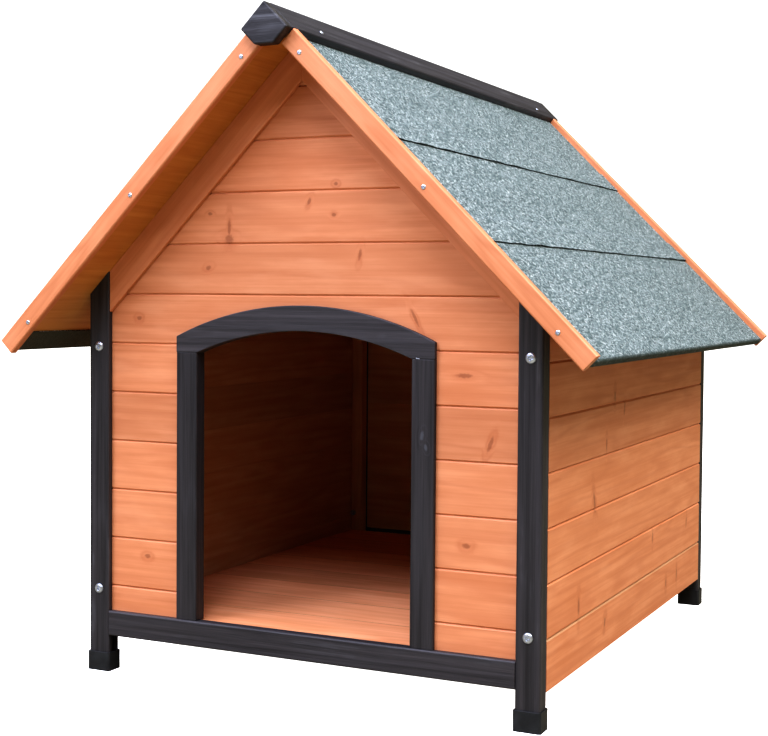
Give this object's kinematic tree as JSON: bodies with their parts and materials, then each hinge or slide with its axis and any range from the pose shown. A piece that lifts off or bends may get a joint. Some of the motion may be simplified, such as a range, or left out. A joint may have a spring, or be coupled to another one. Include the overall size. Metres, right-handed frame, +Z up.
{
  "type": "dog house",
  "caption": "Timber dog house with tongued board walls between capped corner posts, an arched doorway, a raised floor and a felted saddle roof with a boarded ridge.",
  "frame": {"origin": "on the ground, at the centre of the footprint", "axes": "+Z up; +X to the right of the doorway as seen from outside; +Y to the back, along the ridge, so the doorway faces -Y"},
  "size_m": [0.9418, 1.113, 0.982],
  "materials": {
    "board_timber": "honey stain, satin",
    "batten_timber": "honey stain, satin",
    "floor_timber": "honey stain, satin",
    "deck_timber": "brown stain, satin",
    "dark_timber": "black stain, satin",
    "roofing_felt": "grey-green mineral granules, matt",
    "cap_plastic": "black, satin",
    "zinc_steel": "zinc plated"
  },
  "bodies": {
    "root": {"door_header": "dark_timber", "door_left_jamb": "dark_timber", "door_right_jamb": "dark_timber", "floor_bearers": "floor_timber", "floor_boards": "floor_timber", "front_boards": "board_timber", "front_bolts": "zinc_steel", "front_left_bargeboard": "batten_timber", "front_left_bargeboard_screws": "zinc_steel", "front_left_end_batten": "batten_timber", "front_left_foot_cap": "cap_plastic", "front_left_gable_batten": "batten_timber", "front_left_post": "dark_timber", "front_left_roof_batten": "batten_timber", "front_nuts": "zinc_steel", "front_rail": "dark_timber", "front_ridge_plate": "dark_timber", "front_right_bargeboard": "batten_timber", "front_right_bargeboard_screws": "zinc_steel", "front_right_end_batten": "batten_timber", "front_right_foot_cap": "cap_plastic", "front_right_gable_batten": "batten_timber", "front_right_post": "dark_timber", "front_right_roof_batten": "batten_timber", "left_floor_ledger": "floor_timber", "left_lower_felt": "roofing_felt", "left_middle_felt": "roofing_felt", "left_ridge_board": "dark_timber", "left_ridge_screws": "zinc_steel", "left_roof_deck": "deck_timber", "left_side_boards": "board_timber", "left_upper_felt": "roofing_felt", "rear_boards": "board_timber", "rear_bolts": "zinc_steel", "rear_left_bargeboard": "batten_timber", "rear_left_bargeboard_screws": "zinc_steel", "rear_left_end_batten": "batten_timber", "rear_left_foot_cap": "cap_plastic", "rear_left_gable_batten": "batten_timber", "rear_left_post": "dark_timber", "rear_left_roof_batten": "batten_timber", "rear_nuts": "zinc_steel", "rear_rail": "dark_timber", "rear_ridge_plate": "dark_timber", "rear_right_bargeboard": "batten_timber", "rear_right_bargeboard_screws": "zinc_steel", "rear_right_end_batten": "batten_timber", "rear_right_foot_cap": "cap_plastic", "rear_right_gable_batten": "batten_timber", "rear_right_post": "dark_timber", "rear_right_roof_batten": "batten_timber", "right_floor_ledger": "floor_timber", "right_lower_felt": "roofing_felt", "right_middle_felt": "roofing_felt", "right_ridge_board": "dark_timber", "right_ridge_screws": "zinc_steel", "right_roof_deck": "deck_timber", "right_side_boards": "board_timber", "right_upper_felt": "roofing_felt"}
  },
  "joints": []
}
